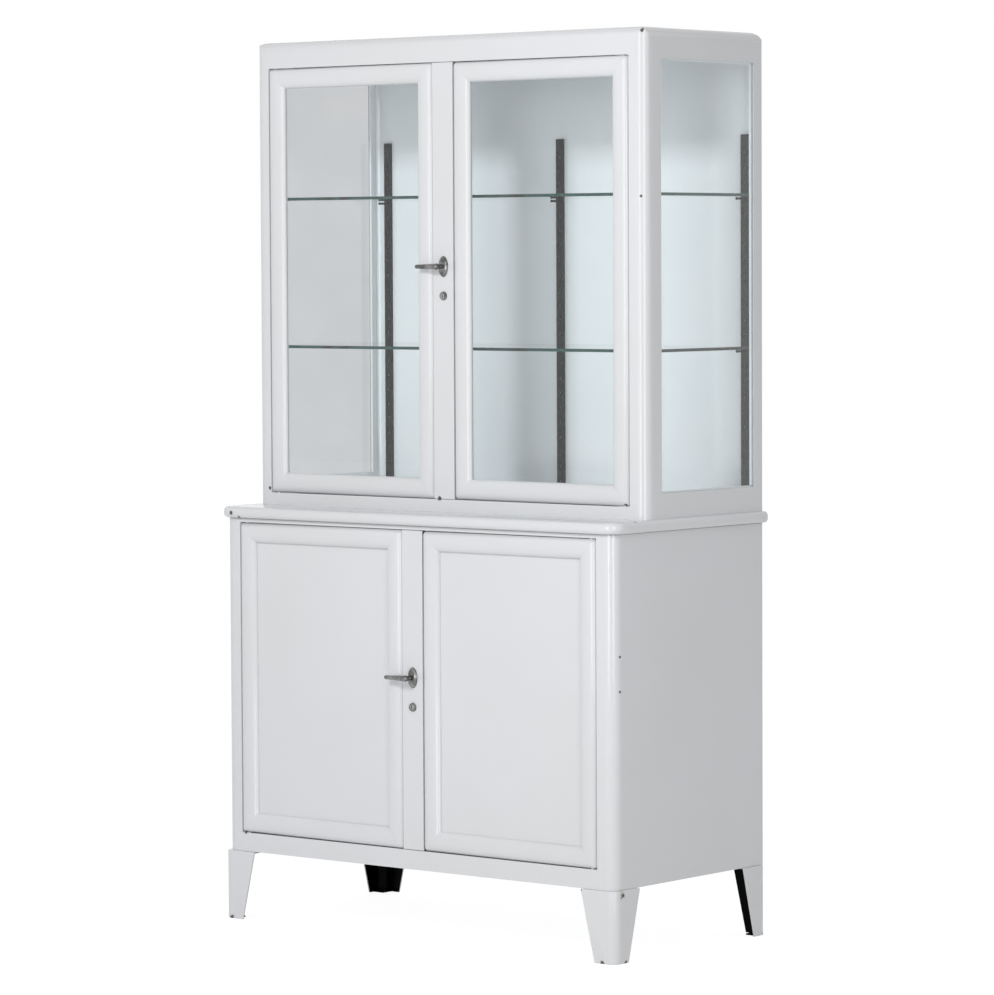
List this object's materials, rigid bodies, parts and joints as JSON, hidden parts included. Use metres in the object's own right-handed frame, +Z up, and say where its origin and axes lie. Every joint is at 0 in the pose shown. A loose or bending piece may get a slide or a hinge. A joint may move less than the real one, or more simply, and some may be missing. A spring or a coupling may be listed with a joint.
{
  "type": "glass door medical cabinet",
  "caption": "White enamelled steel cabinet on legs: glazed upper case with glass shelves above a worktop and a lower case with panelled doors; hinged doors, lever handles and bolts.",
  "frame": {"origin": "on the floor under the middle of the bounding box", "axes": "+X to the right seen from the front, +Y to the back, +Z up"},
  "size_m": [1.024, 0.5146, 1.78],
  "materials": {
    "enamel": "glossy, worn at edges",
    "nickel": "polished, dulled",
    "dark_steel": "dull",
    "glass": "clear, green at the cut edges"
  },
  "bodies": {
    "cabinet": {"lower_case": "enamel", "lower_back_panel": "enamel", "worktop": "enamel", "upper_case": "enamel", "upper_back_panel": "enamel", "lower_shelf": "enamel", "side_pane_left": "glass", "side_bead_left": "enamel", "side_pane_right": "glass", "side_bead_right": "enamel", "standard_back_left": "dark_steel", "peg_high_back_left": "dark_steel", "peg_low_back_left": "dark_steel", "standard_back_middle": "dark_steel", "peg_high_back_middle": "dark_steel", "peg_low_back_middle": "dark_steel", "standard_back_right": "dark_steel", "peg_high_back_right": "dark_steel", "peg_low_back_right": "dark_steel", "standard_front_left": "dark_steel", "peg_high_front_left": "dark_steel", "peg_low_front_left": "dark_steel", "standard_front_right": "dark_steel", "peg_high_front_right": "dark_steel", "peg_low_front_right": "dark_steel", "glass_shelf_high": "glass", "glass_shelf_low": "glass", "leg_front_left": "enamel", "leg_front_right": "enamel", "leg_rear_left": "enamel", "leg_rear_right": "enamel"},
    "upper_door_left": {"upper_door_frame_left": "enamel", "upper_door_pane_left": "glass", "upper_door_cover_left": "enamel", "upper_strip": "enamel", "upper_rosette": "nickel", "upper_lock_case": "dark_steel", "upper_lock_cylinder": "nickel"},
    "upper_door_right": {"upper_door_frame_right": "enamel", "upper_door_pane_right": "glass", "upper_door_cover_right": "enamel"},
    "upper_handle": {"upper_lever": "nickel", "upper_lock_hub": "dark_steel"},
    "upper_bolt_up": {"upper_rod_up": "dark_steel"},
    "upper_bolt_down": {"upper_rod_down": "dark_steel"},
    "upper_key_plug": {"upper_lock_plug": "nickel"},
    "lower_door_left": {"lower_door_frame_left": "enamel", "lower_door_panel_left": "enamel", "lower_strip": "enamel", "lower_rosette": "nickel", "lower_lock_case": "dark_steel", "lower_lock_cylinder": "nickel"},
    "lower_door_right": {"lower_door_frame_right": "enamel", "lower_door_panel_right": "enamel"},
    "lower_handle": {"lower_lever": "nickel", "lower_lock_hub": "dark_steel"},
    "lower_bolt_up": {"lower_rod_up": "dark_steel"},
    "lower_bolt_down": {"lower_rod_down": "dark_steel"},
    "lower_key_plug": {"lower_lock_plug": "nickel"}
  },
  "joints": [
    {"name": "upper_door_left_swing", "type": "hinge", "parent": "cabinet", "child": "upper_door_left", "pos_m": [-0.447, -0.12175, 1.29625], "axis": [0, 0, -1], "range_deg": [0, 110]},
    {"name": "upper_door_right_swing", "type": "hinge", "parent": "cabinet", "child": "upper_door_right", "pos_m": [0.447, -0.12175, 1.29625], "axis": [0, 0, 1], "range_deg": [0, 110]},
    {"name": "upper_handle_turn", "type": "hinge", "parent": "upper_door_left", "child": "upper_handle", "pos_m": [0, -0.12775, 1.32525], "axis": [0, -1, 0], "range_deg": [0, 90]},
    {"name": "upper_bolt_up_slide", "type": "slide", "parent": "upper_door_left", "child": "upper_bolt_up", "axis": [0, 0, 1], "range_m": [0, 0.011]},
    {"name": "upper_bolt_down_slide", "type": "slide", "parent": "upper_door_left", "child": "upper_bolt_down", "axis": [0, 0, -1], "range_m": [0, 0.011]},
    {"name": "upper_key_turn", "type": "hinge", "parent": "upper_door_left", "child": "upper_key_plug", "pos_m": [0, -0.12775, 1.26725], "axis": [0, -1, 0], "range_deg": [0, 90]},
    {"name": "lower_door_left_swing", "type": "hinge", "parent": "cabinet", "child": "lower_door_left", "pos_m": [-0.443, -0.22175, 0.49025], "axis": [0, 0, -1], "range_deg": [0, 110]},
    {"name": "lower_door_right_swing", "type": "hinge", "parent": "cabinet", "child": "lower_door_right", "pos_m": [0.443, -0.22175, 0.49025], "axis": [0, 0, 1], "range_deg": [0, 110]},
    {"name": "lower_handle_turn", "type": "hinge", "parent": "lower_door_left", "child": "lower_handle", "pos_m": [0, -0.22775, 0.51925], "axis": [0, -1, 0], "range_deg": [0, 90]},
    {"name": "lower_bolt_up_slide", "type": "slide", "parent": "lower_door_left", "child": "lower_bolt_up", "axis": [0, 0, 1], "range_m": [0, 0.011]},
    {"name": "lower_bolt_down_slide", "type": "slide", "parent": "lower_door_left", "child": "lower_bolt_down", "axis": [0, 0, -1], "range_m": [0, 0.011]},
    {"name": "lower_key_turn", "type": "hinge", "parent": "lower_door_left", "child": "lower_key_plug", "pos_m": [0, -0.22775, 0.46125], "axis": [0, -1, 0], "range_deg": [0, 90]}
  ],
  "couplings": [
    {"joint": "upper_bolt_up_slide", "follows": "upper_handle_turn", "m_per_rad": 0.007},
    {"joint": "upper_bolt_down_slide", "follows": "upper_handle_turn", "m_per_rad": 0.007},
    {"joint": "lower_bolt_up_slide", "follows": "lower_handle_turn", "m_per_rad": 0.007},
    {"joint": "lower_bolt_down_slide", "follows": "lower_handle_turn", "m_per_rad": 0.007}
  ]
}
